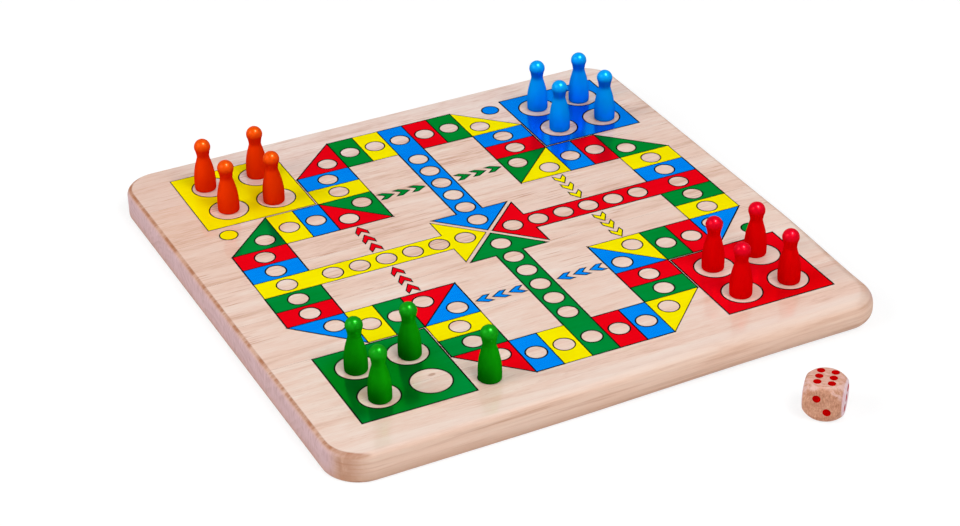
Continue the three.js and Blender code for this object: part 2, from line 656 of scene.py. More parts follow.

        # The brown of the sanded edges, and painted shade that darkens the lower edge
        uneven = bench.noise(place, (0.02, 0.0065, 0.02), 4, 0.65).rise(0.36, 0.64)
        left = (1 - along.rise(-0.05, 0.05) * 0.75) * (1 - (away * -1).rise(0.1, 0.8) * 0.25)
        burnt = cut.rise(0.03, flank * 0.6 + 0.22) * (1 - faced) * left
        colour = bench.blend(burnt * (uneven * 0.50 + 0.40), colour, self.burnt)
        # Painted shade: the long sides grow darker and browner towards the underside
        lower = (1 - height.rise(*self.low_shade_reach)) * side
        return bench.blend(lower * 0.7, colour, self.low)


@dataclass(frozen=True)
class DieWood:
    """The die's wood: a brown side grain, a pale top and end grain that is almost white.

    Attributes:
        name: The material's name.
        turn_degrees: How the die lies, seen from above.
        front: The colour of the side that shows two pips.
        light: The colour of that side's pale fibres.
        flecks: The colour of that side's short dark fibres.
        top: The colour of its top.
        worn: The colour of its worn corners.
        right: The colour of the end grain, to the right.
        right_dark: The colour of the end grain's darker streaks.
    """

    name: str
    turn_degrees: float
    front: Colour = paint(205, 147, 120)
    light: Colour = paint(228, 179, 149)
    flecks: Colour = paint(180, 120, 90)
    top: Colour = paint(224, 177, 162)
    worn: Colour = paint(232, 196, 190)
    right: Colour = paint(238, 211, 214)
    right_dark: Colour = paint(214, 160, 176)

    def material(self) -> bpy.types.Material:
        """Colours each side by the way that it faces as the die lies.

        Returns:
            The material.
        """
        bench = ShaderBench.named(self.name)
        turn = (0, 0, math.radians(-self.turn_degrees))
        place = bench.place(turn=turn)
        sockets = {"Vector": bench.normal(), "Rotation": turn}
        facing = bench.add("Mapping", {"vector_type": "VECTOR"}, sockets)
        to_right, _, up = bench.axes(facing.outputs[0])
        grain = bench.noise(place, (0.0008, 0.0008, 0.0021), 4, 0.75)
        flow = bench.noise(place, (0.007, 0.004, 0.005), 3, 0.6)
        bands = bench.noise(place, (0.0050, 0.0010, 0.02), 2, 0.6)
        speck = (grain - 0.5) * 2.2 + (flow - 0.5) * 0.9 + 0.5
        colour = bench.ramp(speck, (0.1, self.flecks), (0.5, self.front), (0.9, self.light))
        streak = bands.rise(0.40, 0.60) * 0.8 + (grain - 0.5) * 2.0
        brown = bench.blend(bands.rise(0.55, 0.7), self.front, self.flecks)
        colour = bench.blend(up.rise(0.55, 0.95), colour, bench.blend(streak, self.top, brown))
        rim = up.rise(0.22, 0.45) * (1 - up.rise(0.72, 0.92))
        corner = rim * to_right.magnitude().rise(0.05, 0.3)
        colour = bench.blend(corner * flow.rise(0.42, 0.58) * 0.65, colour, self.worn)
        side = to_right.rise(0.66, 0.84).math("MAXIMUM", (to_right * -1).rise(0.75, 0.95))
        pores = bench.noise(place, (0.02, 0.0011, 0.006), 2, 0.6).rise(0.42, 0.66)
        colour = bench.blend(side, colour, bench.blend(pores * 0.6, self.right, self.right_dark))
        return bench.surface(
            Base_Color=colour,
            Roughness=0.45 + grain * 0.2,
            Specular_IOR_Level=0.1,
            Coat_Weight=0.05,
            Coat_Roughness=0.25,
            Normal=bench.bump(grain, 0.06, 0.0002),
        )


@dataclass(frozen=True)
class InkFinish:
    """Screen-printed ink on wood. Its gloss takes the ink's own colour, as a thick enamel's does.

    Attributes:
        name: The material's name.
        full: The colour where the ink lies thick.
        thin: The colour where the grain has taken some of it.
        enamel: How much of the light the coloured gloss throws back.
        deep: The darker colour of the painted shade and reflection of the pawns in their base.
        heart: The middle of that part, in metres.
        fade: How far off that middle it starts to fade and has gone, in metres.
    """

    name: str
    full: Colour
    thin: Colour
    enamel: float = 0.5
    deep: Colour | None = None
    heart: Point = (0.0, 0.0)
    fade: Point = (20 * MM, 44 * MM)

    def material(self) -> bpy.types.Material:
        """Lays the ink on the wood, thin along the grain and thick between.

        Returns:
            The material.
        """
        bench = ShaderBench.named(self.name)
        place = bench.place()
        grain = bench.noise(place, (0.03, 0.0011, 0.0011), 3, 0.6)
        spread = bench.noise(place, (0.02, 0.02, 0.02), 2)
        share = grain.rise(0.35, 0.75) * 0.55 + spread.rise(0.3, 0.7) * 0.45
        colour = bench.blend(share, self.full, self.thin)
        # Painted shade and reflection of the pawns, darkest round the middle of their base
        if self.deep:
            along, across, _ = bench.axes(place)
            off = ((along - self.heart[0]) ** 2 + (across - self.heart[1]) ** 2) ** 0.5
            colour = bench.blend(1 - off.rise(*self.fade), colour, self.deep)
        return bench.surface(
            Base_Color=colour,
            Metallic=self.enamel,
            Roughness=0.12 + grain * 0.08,
            Specular_IOR_Level=0.0,
            Specular_Tint=(0.0, 0.0, 0.0, 1.0),
            Normal=bench.bump(grain, 0.03, 0.0002),
        )


@dataclass(frozen=True)
class PawnPaint:
    """Glossy dipped paint on a turned pawn, with painted shade on the body and painted light on the
    head.

    Attributes:
        name: The material's name.
        head: The colour of the head, paler as painted light from above.
        colour: The colour of the body.
        deep: The darker colour of the painted shade on the body and under the head.
        shade_direction: The direction of the side with painted shade, seen from above.
        nape: How strong the painted shade under the head is.
        foot: The height of the foot above the board's underside, in metres.
        foot_rim: The height of the foot's rim, through which the painted shade at the foot fades,
            in metres.
        body: How far above the foot the painted shade on the lower body reaches, in metres.
        neck: The height of the neck above the board's underside, in metres.
        nape_height: The height of the nape, in metres.
        head_reach: How far above the neck the head's colour starts and is full, in metres.
    """

    name: str
    head: Colour
    colour: Colour
    deep: Colour
    shade_direction: tuple[float, float] = (0.0, 0.0)
    nape: float = 0.5
    foot: float = 16 * MM
    foot_rim: float = 1.6 * MM
    body: float = 15 * MM
    neck: float = 36.2 * MM
    nape_height: float = 5 * MM
    head_reach: Point = (3.2 * MM, 8 * MM)

    def material(self) -> bpy.types.Material:
        """Mixes the paint: darker as painted shade, and paler on the head as painted light.

        Returns:
            The material.
        """
        bench = ShaderBench.named(self.name)
        place = bench.place()
        _, _, height = bench.axes(place)
        east, north, _ = bench.axes(bench.normal())
        # Painted shade: darker on one side, under the head, low on the body and at the foot
        shaded_side = (east * self.shade_direction[0] + north * self.shade_direction[1]).rise(-0.2, 1.0)
        off_nape = ((height - self.neck) / self.nape_height - 0.5).magnitude()
        shade_under_head = 1 - off_nape.rise(0.2, 1.0)
        low = 1 - height.rise(self.foot, self.foot + self.body)
        shade_at_foot = 1 - height.rise(self.foot, self.foot + self.foot_rim)
        cloud = bench.noise(place, (0.007, 0.007, 0.010), 2)
        share = shade_under_head * self.nape + low * 0.45 + shade_at_foot * 0.25 + shaded_side * 0.55
        share = share + (cloud - 0.5) * 0.4
        body = bench.blend(share, self.colour, self.deep)
        # Painted light: the head turns paler above the neck
        up = height.rise(*(self.neck + reach for reach in self.head_reach))
        return bench.surface(
            Base_Color=bench.blend(up, body, self.head),
            Metallic=0.12,
            Roughness=0.30 + cloud * 0.1,
            Specular_IOR_Level=0.0,
            Specular_Tint=(0.0, 0.0, 0.0, 1.0),
            Coat_Weight=0.01 + up * 0.07,
            Coat_Roughness=0.22,
            Normal=bench.bump(cloud, 0.04, 0.0003),
        )


@dataclass(frozen=True)
class PipPaint:
    """Flat red paint dabbed into the die's pips.

    Attributes:
        name: The material's name.
        colour: The colour of the paint.
        worn: Its colour where it is worn.
    """

    name: str = "pip_paint"
    colour: Colour = paint(194, 0, 0)
    worn: Colour = paint(170, 0, 2)

    def material(self) -> bpy.types.Material:
        """Mixes the paint, uneven as it dried.

        Returns:
            The material.
        """
        bench = ShaderBench.named(self.name)
        dab = bench.noise(bench.place(), (0.0012, 0.0012, 0.0012), 3)
        return bench.surface(
            Base_Color=bench.blend(dab.rise(0.4, 0.75), self.colour, self.worn),
            Roughness=0.42 + dab * 0.2,
            Specular_IOR_Level=0.0,
            Normal=bench.bump(dab, 0.15, 0.0002),
        )


@dataclass(frozen=True)
class GlueFinish:
    """The dried glue between two staves.

    Attributes:
        name: The material's name.
        colour: The colour where the joint is tight.
        dark: The colour where more glue is left in it.
    """

    name: str = "wood_glue"
    colour: Colour = paint(190, 150, 130)
    dark: Colour = paint(140, 96, 76)

    def material(self) -> bpy.types.Material:
        """Mixes the glue's colours under the board's lacquer.

        Returns:
            The material.
        """
        bench = ShaderBench.named(self.name)
        squeeze = bench.noise(bench.place(), (0.035, 0.02, 0.004), 2)
        return bench.surface(
            Base_Color=bench.blend(squeeze.rise(0.4, 0.62), self.colour, self.dark),
            Roughness=0.4 + squeeze * 0.1,
            Coat_Weight=0.8,
            Coat_Roughness=0.11,
        )


# The board


@dataclass
class Board:
    """The board: staves glued edge to edge, with rounded corners and edges.

    The edges are sanded by hand, and softer at the front-right corner than elsewhere.

    Attributes:
        corner_radius: The radius of the corners, seen from above.
        upper_edge: The upper edge's radius, where it is sharp and where it is soft.
        lower_edge: The lower edge's radius, where it is sharp and where it is soft.
        flat_rim: The flat ring inside an edge's rounding.
        corner_steps: Faces round a corner.
        side_steps: Faces along a straight side.
        edge_steps: Faces round an edge.
        soft_along: From where to where the edge grows softer along X.
        soft_near: From where to where it does so towards the front.
        body: The body that carries the board.
        staves: The staves' solids, from the front to the back.
        low: The lowest corner of the board's box.
        high: Its highest corner.
    """

    corner_radius: float = 19.5 * MM
    upper_edge: Point = (3 * MM, 7.5 * MM)
    lower_edge: Point = (2.2 * MM, 6.4 * MM)
    flat_rim: float = 0.3 * MM
    corner_steps: int = 24
    side_steps: int = 30
    edge_steps: int = 8
    soft_along: Point = (-60 * MM, 100 * MM)
    soft_near: Point = (50 * MM, 130 * MM)
    body: str = "board"
    staves: list[str] = field(default_factory=lambda: [f"board_stave_{i}" for i in range(1, 8)])
    low: Vector = field(init=False)
    high: Vector = field(init=False)

    def __post_init__(self) -> None:
        """Reads the board's box from the solids."""
        boxes = [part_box(name) for name in self.staves]
        self.low = Vector([min(low[i] for low, _ in boxes) for i in range(3)])
        self.high = Vector([max(high[i] for _, high in boxes) for i in range(3)])

    @staticmethod
    def finishes() -> list[WoodFinish]:
        """Picks the wood of the staves.

        Returns:
            Each stave's wood, from the front to the back.
        """
        return [
            WoodFinish("wood_stave_1", move=(0.02, 0.118, 0.030), turn=(0, 1.6, 0.8), tone=0.28,
                       figure=0.25, grain=0.55, ring=3.6 * MM, streaks=0.3, sap_and_highlight=0.136),
            WoodFinish("wood_stave_2", move=(0.31, 0.150, 0.075), turn=(0, 0.4, -0.5), tone=0.24,
                       figure=0.24, grain=0.6, ring=4.6 * MM, streaks=0.3,
                       knot=(-80.9 * MM, -104.2 * MM)),
            WoodFinish("wood_stave_3", move=(0.62, 0.020, 0.090), turn=(0, -0.5, 0.4), tone=0.26,
                       figure=0.26, grain=0.5, ring=4.2 * MM, streaks=0.8),
            WoodFinish("wood_stave_4", move=(0.90, -0.012, 0.028), turn=(0, 1.1, -0.4), tone=0.35,
                       figure=0.26, grain=0.5, ring=4.0 * MM, streaks=0.9),
            WoodFinish("wood_stave_5", move=(1.21, -0.100, 0.085), turn=(0, 0.6, 0.6), tone=0.38,
                       figure=0.24, grain=0.62, ring=4.4 * MM, streaks=1.0, stain=0.1),
            WoodFinish("wood_stave_6", move=(1.55, -0.020, 0.110), turn=(0, -0.6, 0.3), tone=0.34,
                       figure=0.20, grain=0.9, ring=3.0 * MM, streaks=0.9, stain=0.35),
            WoodFinish("wood_stave_7", move=(1.92, -0.142, 0.040), turn=(0, 1.2, -0.7), tone=0.28,
                       figure=0.22, grain=0.85, ring=3.0 * MM, streaks=0.7, stain=0.4,
                       pale=paint(239, 221, 211), middle=paint(231, 200, 187)),
        ]

    def softness(self, point: Vector) -> float:
        """Returns how soft the edge is sanded at a point of the outline, 0 to 1."""
        return smooth_step(point.x, *self.soft_along) * smooth_step(-point.y, *self.soft_near)

    def outline(self) -> list[tuple[Vector, Vector]]:
        """Draws the board's outline, seen from above.

        Returns:
            Its points, each with the way out at it.
        """
        radius = self.corner_radius
        half_x = self.high.x - radius
        half_y = self.high.y - radius
        corners = ((half_x, half_y), (-half_x, half_y), (-half_x, -half_y), (half_x, -half_y))
        found = []
        for turn, corner in enumerate(corners):
            for step in range(self.corner_steps + 1):
                angle = math.pi / 2 * (turn + step / self.corner_steps)
                out = Vector((math.cos(angle), math.sin(angle)))
                found.append((Vector(corner) + out * radius, out))
            start, out = found[-1]
            end = Vector(corners[(turn + 1) % 4]) + out * radius
            found.extend(
                (start.lerp(end, step / self.side_steps), out) for step in range(1, self.side_steps)
            )
        return found

    def slab(self) -> bmesh.types.BMesh:
        """Builds the whole board, rounded all round.

        Returns:
            The board as one closed slab.
        """
        turns = [math.pi / 2 * i / self.edge_steps for i in range(self.edge_steps + 1)]
        outline = self.outline()
        soft = [self.softness(point) for point, _ in outline]
        mesh = bmesh.new()

        def loop(
            radii: Point, turn: float, rim: float, base: float, sense: float
        ) -> list[bmesh.types.BMVert]:
            """Adds the ring of corners where an edge has turned by an angle from the flat.

            Args:
                radii: The edge's radius, where it is sharp and where it is soft.
                turn: The angle, in radians.
                rim: How far the ring lies inside the edge's rounding.
                base: The height of the flat.
                sense: 1 where the edge goes up from the flat, -1 where it goes down.

            Returns:
                The corners.
            """
            ring = []
            for (point, out), share in zip(outline, soft):
                radius = radii[0] + (radii[1] - radii[0]) * share
                inset = radius * (1 - math.sin(turn)) + rim
                drop = radius * (1 - math.cos(turn))
                place = point - out * inset
                ring.append(mesh.verts.new((place.x, place.y, base + sense * drop)))
            return ring

        low, high = self.low.z, self.high.z
        loops = [loop(self.lower_edge, 0.0, self.flat_rim, low, 1)]
        loops += [loop(self.lower_edge, turn, 0.0, low, 1) for turn in turns]
        loops += [loop(self.upper_edge, turn, 0.0, high, -1) for turn in reversed(turns)]
        loops += [loop(self.upper_edge, 0.0, self.flat_rim, high, -1)]
        count = len(outline)
        for lower, upper in zip(loops, loops[1:]):
            for i in range(count):
                j = (i + 1) % count
                mesh.faces.new((lower[i], lower[j], upper[j], upper[i]))
        mesh.faces.new(list(reversed(loops[0])))
        mesh.faces.new(loops[-1])
        return mesh

    @staticmethod
    def cut(slab: bmesh.types.BMesh, front: float, back: float) -> None:
        """Keeps of a slab what lies between two planes across Y, and closes the cuts.

        Args:
            slab: The slab.
            front: The place of the nearer plane.
            back: The place of the farther one.
        """
        for place, facing in ((front, -1.0), (back, 1.0)):
            if not min(v.co.y for v in slab.verts) < place < max(v.co.y for v in slab.verts):
                continue
            parts = [*slab.verts, *slab.edges, *slab.faces]
            made = bmesh.ops.bisect_plane(
                slab, geom=parts, plane_co=(0, place, 0), plane_no=(0, facing, 0), clear_outer=True
            )
            rim = [part for part in made["geom_cut"] if isinstance(part, bmesh.types.BMEdge)]
            bmesh.ops.edgeloop_fill(slab, edges=rim)
        bmesh.ops.recalc_face_normals(slab, faces=slab.faces)

    def piece(self, name: str, front: float, back: float) -> bpy.types.Object:
        """Builds the slice of the board between two planes across Y.

        Args:
            name: The piece's name.
            front: The place of the nearer plane.
            back: The place of the farther one.

        Returns:
            The slice.
        """
        slab = self.slab()
        self.cut(slab, front, back)
        mesh = bpy.data.meshes.new(name)
        slab.to_mesh(mesh)
        slab.free()
        return finish_piece(name, mesh)

    def glue_films(self) -> bpy.types.Object:
        """Builds the films of glue between the staves.

        Returns:
            The films, as one piece.
        """
        joined = bmesh.new()
        for near, far in zip(self.staves, self.staves[1:]):
            film = self.slab()
            self.cut(film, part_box(near)[1].y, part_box(far)[0].y)
            part = bpy.data.meshes.new("film")
            film.to_mesh(part)
            film.free()
            joined.from_mesh(part)
            bpy.data.meshes.remove(part)
        mesh = bpy.data.meshes.new("glue_lines")
        joined.to_mesh(mesh)
        joined.free()
        return finish_piece("glue_lines", mesh)

    def build(self) -> None:
        """Builds the staves and the glue between them."""
        for node, finish in zip(self.staves, self.finishes()):
            low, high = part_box(node)
            stave = self.piece(node.replace("board_", "") + "_wood", low.y, high.y)
            hand_over(stave, self.body, finish.material(), [node])
        hand_over(self.glue_films(), self.body, GlueFinish().material())


# The printed track


class Ink(Enum):
    """The inks of the print."""

    RED = "red"
    GREEN = "green"
    YELLOW = "yellow"
    BLUE = "blue"
    LINE = "line"


# The inks of the fields in turn, and of each quarter's base, start spot and small arrows.
FIELD_INKS = (Ink.RED, Ink.GREEN, Ink.YELLOW, Ink.BLUE)
BASE_INKS = (Ink.YELLOW, Ink.BLUE, Ink.RED, Ink.GREEN)
SPOT_INKS = (Ink.YELLOW, Ink.BLUE, Ink.GREEN, Ink.RED)
ARROW_INKS = (Ink.GREEN, Ink.YELLOW, Ink.BLUE, Ink.RED)


@dataclass(frozen=True)
class Patch:
    """One flat shape of the print. Where patches overlap, the one of the highest rank is seen.

    Attributes:
        outline: The corners, in order.
        ink: The ink, or None for bare wood.
        rank: The rank.
    """

    outline: Outline
    ink: Ink | None
    rank: int


@dataclass
class Sheet:
    """What is seen of one ink.

    Attributes:
        points: The corners.
        triangles: The triangles between them, as numbers of corners.
    """

    points: list[Point] = field(default_factory=list)
    triangles: list[tuple[int, int, int]] = field(default_factory=list)


def area(outline: Outline) -> float:
    """Returns an outline's area, which is negative where its corners run clockwise."""
    pairs = zip(outline, outline[1:] + outline[:1])
    return sum(a[0] * b[1] - b[0] * a[1] for a, b in pairs) / 2


def offset(outline: Outline, distance: float) -> Outline:
    """Moves the sides of an outline outwards, or inwards where the distance is negative.

    Args:
        outline: The corners, in order.
        distance: How far each side moves.

    Returns:
        The new corners.
    """
    corners = [Vector(p) for p in outline]
    out = distance if area(outline) > 0 else -distance
    moved = []
    for i, corner in enumerate(corners):
        before = (corner - corners[i - 1]).normalized()
        after = (corners[(i + 1) % len(corners)] - corner).normalized()
        normal = Vector((before.y, -before.x)) + Vector((after.y, -after.x))
        moved.append(corner + normal * (2 * out / normal.length_squared))
    return tuple((p.x, p.y) for p in moved)


def circle(centre: Point, radius: float, sides: int) -> Outline:
    """Draws a circle.

    Args:
        centre: Its centre.
        radius: Its radius.
        sides: How many sides it has.

    Returns:
        Its corners.
    """
    x, y = centre
    turns = [2 * math.pi * i / sides for i in range(sides)]
    return tuple((x + radius * math.cos(a), y + radius * math.sin(a)) for a in turns)


def lay_out(patches: Sequence[Patch]) -> dict[Ink, Sheet]:
    """Cuts overlapping patches into one sheet for each ink, with nothing lying double.

    Args:
        patches: The patches.

    Returns:
        The sheet of each ink that is seen.
    """
    points: list[Vector] = []
    faces: list[list[int]] = []
    for patch in patches:
        corners = patch.outline if area(patch.outline) > 0 else patch.outline[::-1]
        faces.append([len(points) + i for i in range(len(corners))])
        points.extend(Vector(p) for p in corners)
    inner_triangles, weld = 1, 1e-7
    cut = delaunay_2d_cdt(points, [], faces, inner_triangles, weld, True)
    corners, _, triangles, _, _, sources = cut
    sheets: dict[Ink, Sheet] = {}
    used: dict[tuple[Ink, int], int] = {}
    for triangle, source in zip(triangles, sources):
        if not source:
            continue
        ink = max((patches[i] for i in source), key=lambda patch: patch.rank).ink
        if ink is None:
            continue
        sheet = sheets.setdefault(ink, Sheet())
        for corner in triangle:
            if (ink, corner) not in used:
                used[ink, corner] = len(sheet.points)
                sheet.points.append(tuple(corners[corner]))
        sheet.triangles.append(tuple(used[ink, corner] for corner in triangle))
    return sheets


@dataclass
class TrackPrint:
    """The printed track. It is drawn in fields from its centre, x to the right and y away.

    Each shape is drawn once, in the far-left quarter and along the far side, and turned
    clockwise for the other three. The sizes that stand before the body are in metres, and
    those after it in fields.

    Attributes:
        top: The height of the board's top.
        unit: The width of a field.
        shift: How far the print's centre lies from the board's.
        turn_degrees: How far it is turned.
        film: The thickness of the ink above the wood.
        sunk: How far the film reaches into the wood.
        ring_lift: How far a ring lies above the ink round it.
        body: The body that carries the board.
        line: The width of the outlines.
        yellow_line: How much of that width is left where yellow has spread over an outline.
        yellow_ring: How much of it is left where yellow has spread over a ring.
        half: Half the track's width.
        base_side: The width of a base.
        base_reach: How much further each base's two outer sides lie out than the track's.
        base_circle: The radius of the circles in a base.
        base_sides: How many sides such a circle has.
        base_places: How far in from the track's outer sides their centres lie.
        field_circle: The radius of the circle in a field.
        sides: How many sides it and a start spot have.
        tuck: How far a three-cornered field's circle lies from its square corner.
        lane_start: How far from the print's centre a lane's circles start.
        lane_pitch: The distance from one of them to the next.
        lane_circles: How many there are.
        head_base: How far from the print's centre the arrowhead of a lane starts.
        head_half: Half the arrowhead's width.
        head_tip: How far from the print's centre its tip lies.
        spot_radius: The radius of a start spot.
        spot_place: The place of the first start spot.
        arrow: The outline of a small arrow, from its tip.
        arrow_start: The place of the first arrow's tip.
        arrow_count: How many arrows a stretch has.
        arrow_pitch: The distance from one arrow to the next.
        stretches: How many stretches of arrows each quarter has.
        stretch_pitch: The distance from one stretch to the next.
        arrow_line: How much of the outlines' width an arrow's outline has.
        arrow_strays: How far each quarter's arrows lie off their place.
    """

    top: float
    unit: float = 15.2 * MM
    shift: Point = (3.75 * MM, 2.75 * MM)
    turn_degrees: float = -0.7
    film: float = 0.05 * MM
    sunk: float = 0.02 * MM
    ring_lift: float = 0.01 * MM
    body: str = "board"
    line: float = 0.052
    yellow_line: float = 0.62
    yellow_ring: float = 0.84
    half: float = 8.5
    base_side: float = 3.93
    base_reach: Outline = ((0.09, 0.01), (0.015, -0.045), (0.07, -0.08), (0.065, -0.01))
    base_circle: float = 0.717
    base_sides: int = 64
    base_places: Point = (1.08, 2.86)
    field_circle: float = 0.384
    sides: int = 48
    tuck: float = 0.575
    lane_start: float = 5.84
    lane_pitch: float = 0.985
    lane_circles: int = 6
    head_base: float = 1.575
    head_half: float = 1.455
    head_tip: float = 0.12
    spot_radius: float = 0.345
    spot_place: Point = (-8.06, 3.98)
    arrow: Outline = (
        (0.0, 0.0), (-0.385, 0.24), (-0.65, 0.215), (-0.40, 0.0), (-0.65, -0.215), (-0.385, -0.24),
    )
    arrow_start: Point = (-1.82, 3.87)
    arrow_count: int = 3
    arrow_pitch: float = 0.607
    stretches: int = 2
    stretch_pitch: float = 3.01
    arrow_line: float = 0.75
    arrow_strays: Outline = ((0.03, 0.07), (0.05, 0.01), (0.0, -0.01), (0.03, 0.04))

    def matrix(self) -> Matrix:
        """Returns the print's place on the board."""
        move = Matrix.Translation((*self.shift, self.top))
        return move @ Matrix.Rotation(math.radians(self.turn_degrees), 4, "Z")

    @staticmethod
    def turned(point: Point, quarters: int) -> Point:
        """Turns a point clockwise round the print's centre.

        Args:
            point: The point.
            quarters: How many quarters it is turned by.

        Returns:
            The new point.
        """
        x, y = point
        for _ in range(quarters):
            x, y = y, -x
        return (x, y)

    def quarter_fields(self) -> list[Outline]:
        """Draws the fields of the far quarter, whose sides lie on half fields.

        Returns:
            The thirteen fields, clockwise. The fourth has the lane with it.
        """

        def bar(left: float, far: float, right: float, near: float) -> Outline:
            """Returns an upright rectangle."""
            return ((left, far), (right, far), (right, near), (left, near))

        lane = (
            (-0.5, 8.5), (0.5, 8.5), (0.5, self.head_base), (self.head_half, self.head_base),
            (0.0, self.head_tip), (-self.head_half, self.head_base), (-0.5, self.head_base),
        )
        return [
            ((-4.5, 6.5), (-2.5, 8.5), (-2.5, 6.5)),
            bar(-2.5, 8.5, -1.5, 6.5),
            bar(-1.5, 8.5, -0.5, 6.5),
            lane,
            bar(0.5, 8.5, 1.5, 6.5),
            bar(1.5, 8.5, 2.5, 6.5),
            ((2.5, 8.5), (4.5, 6.5), (2.5, 6.5)),
            bar(2.5, 6.5, 4.5, 5.5),
            bar(2.5, 5.5, 4.5, 4.5),
            ((2.5, 4.5), (4.5, 4.5), (2.5, 2.5)),
            ((4.5, 4.5), (4.5, 2.5), (2.5, 2.5)),
            bar(4.5, 4.5, 5.5, 2.5),
            bar(5.5, 4.5, 6.5, 2.5),
        ]

    def quarter_circles(self) -> list[Point]:
        """Places the small circles of the far quarter.

        Returns:
            The centres of those in the thirteen fields, and then of those in the lane.
        """
        tuck = self.tuck
        fields = [
            (-2.5 - tuck, 6.5 + tuck), (-2, 7.5), (-1, 7.5), (0, 7.5), (1, 7.5), (2, 7.5),
            (2.5 + tuck, 6.5 + tuck), (3.5, 6), (3.5, 5), (2.5 + tuck, 4.5 - tuck),
            (4.5 - tuck, 2.5 + tuck), (5, 3.5), (6, 3.5),
        ]
        lane = [(0, self.lane_start - self.lane_pitch * i) for i in range(self.lane_circles)]
        return fields + lane

    def base_circles(self) -> list[Point]:
        """Returns the centres of the four large circles of the far-left base."""
        return [(x - self.half, self.half - y) for y in self.base_places for x in self.base_places]

    def ring_places(self) -> list[tuple[str, Point, Ink]]:
        """Places the rings of all four quarters.

        Returns:
            Each ring's kind, its centre and the ink that it lies on.
        """
        fields = len(self.quarter_fields())
        lane_field = 3
        places = []
        for k in range(4):
            for j, centre in enumerate(self.quarter_circles()):
                ink = FIELD_INKS[(k + (j if j < fields else lane_field)) % 4]
                places.append(("track", self.turned(centre, k), ink))
            for centre in self.base_circles():
                places.append(("base", self.turned(centre, k), BASE_INKS[k]))
            places.append(("spot", self.turned(self.spot_place, k), SPOT_INKS[k]))
        return places

    def patches(self) -> list[Patch]:
        """Draws every flat shape of the print but for the small arrows.

        Returns:
            The shapes.
        """
        inner = self.half - self.base_side
        found = []

        def inked(outline: Outline, ink: Ink) -> None:
            """Adds a shape and the outline drawn round it.

            Args:
                outline: The corners of the shape.
                ink: Its ink.
            """
            half_line = self.line * (self.yellow_line if ink is Ink.YELLOW else 1.0) / 2
            found.append(Patch(offset(outline, half_line), Ink.LINE, 0))
            found.append(Patch(offset(outline, -half_line), ink, 1))

        for k in range(4):
            for j, outline in enumerate(self.quarter_fields()):
                inked(tuple(self.turned(p, k) for p in outline), FIELD_INKS[(k + j) % 4])
            left, far = self.base_reach[k]
            outer_x, outer_y = -self.half - left, self.half + far
            base = ((outer_x, outer_y), (-inner, outer_y), (-inner, inner), (outer_x, inner))
            inked(tuple(self.turned(p, k) for p in base), BASE_INKS[k])
            rim = self.line / 2
            spot = circle(self.turned(self.spot_place, k), self.spot_radius - rim, self.sides)
            found.append(Patch(spot, SPOT_INKS[k], 1))
            for centre in self.quarter_circles():
                hole = circle(self.turned(centre, k), self.field_circle - rim, self.sides)
                found.append(Patch(hole, None, 2))
            for centre in self.base_circles():
                hole = circle(self.turned(centre, k), self.base_circle - rim, self.base_sides)
                found.append(Patch(hole, None, 2))
        return found

    def prism(self, name: str, sheet: Sheet) -> bpy.types.Object:
        """Makes a thin closed film of a sheet, in metres about the print's centre.

        Args:
            name: The piece's name.
            sheet: The sheet.

        Returns:
            The film.
        """
        count = len(sheet.points)
        flat = [(x * self.unit, y * self.unit) for x, y in sheet.points]
        points = [(x, y, -self.sunk) for x, y in flat] + [(x, y, self.film) for x, y in flat]
        faces: list[tuple[int, ...]] = []
        edges: dict[tuple[int, int], None] = {}
        for a, b, c in sheet.triangles:
            faces.append((c, b, a))
            faces.append((a + count, b + count, c + count))
            edges |= dict.fromkeys(((a, b), (b, c), (c, a)))
        for a, b in edges:
            if (b, a) not in edges:
                faces.append((a, b, b + count, a + count))
        return new_piece(name, points, faces)

    def ring_bench(self) -> GeometryBench:
        """Makes the tree that lays a ring of ink round each point of a mesh.

        Returns:
            The bench with the tree on it.
        """
        inputs = {"Radius": "Float", "Line Width": "Float", "Thickness": "Float", "Sides": "Int",
                  "Material": "Material"}
        bench = GeometryBench("ink_rings", inputs)
        given = bench.given
        path = bench.add("CurvePrimitiveCircle", {"mode": "RADIUS"},
                         {"Resolution": given["Sides"], "Radius": given["Radius"]})
        section = bench.add("CurvePrimitiveQuadrilateral", {"mode": "RECTANGLE"},
                            {"Width": given["Line Width"], "Height": given["Thickness"]})
        band = bench.add("CurveToMesh", None,
                         {"Curve": path.outputs[0], "Profile Curve": section.outputs[0]})
        flat = bench.add("SetShadeSmooth", None,
                         {"Geometry": band.outputs[0], "Shade Smooth": False})
        laid = bench.add("InstanceOnPoints", None,
                         {"Points": given["Geometry"], "Instance": flat.outputs[0]})
        bench.end(laid.outputs[0])
        return bench

    def arrow_bench(self) -> GeometryBench:
        """Makes the tree that repeats one arrow in stretches and turns them to their quarter.

        Returns:
            The bench with the tree on it.
        """
        inputs = {"Count": "Int", "Step": "Vector", "Stretches": "Int", "Stretch Step": "Vector",
                  "Turn": "Vector", "Material": "Material"}
        bench = GeometryBench("ink_arrows", inputs)
        given = bench.given
        row = bench.add("MeshLine", {"mode": "OFFSET"},
                        {"Count": given["Count"], "Offset": given["Step"]})
        one = bench.add("InstanceOnPoints", None,
                        {"Points": row.outputs[0], "Instance": given["Geometry"]})
        rows = bench.add("MeshLine", {"mode": "OFFSET"},
                         {"Count": given["Stretches"], "Offset": given["Stretch Step"]})
        both = bench.add("InstanceOnPoints", None,
                         {"Points": rows.outputs[0], "Instance": one.outputs[0]})
        turned = bench.add("Transform", None,
                           {"Geometry": both.outputs[0], "Rotation": given["Turn"]})
        bench.end(turned.outputs[0])
        return bench

    def lay(self, piece: bpy.types.Object, material: bpy.types.Material) -> None:
        """Puts a finished film of ink in its place on the board."""
        piece.data.transform(self.matrix())
        hand_over(piece, self.body, material)

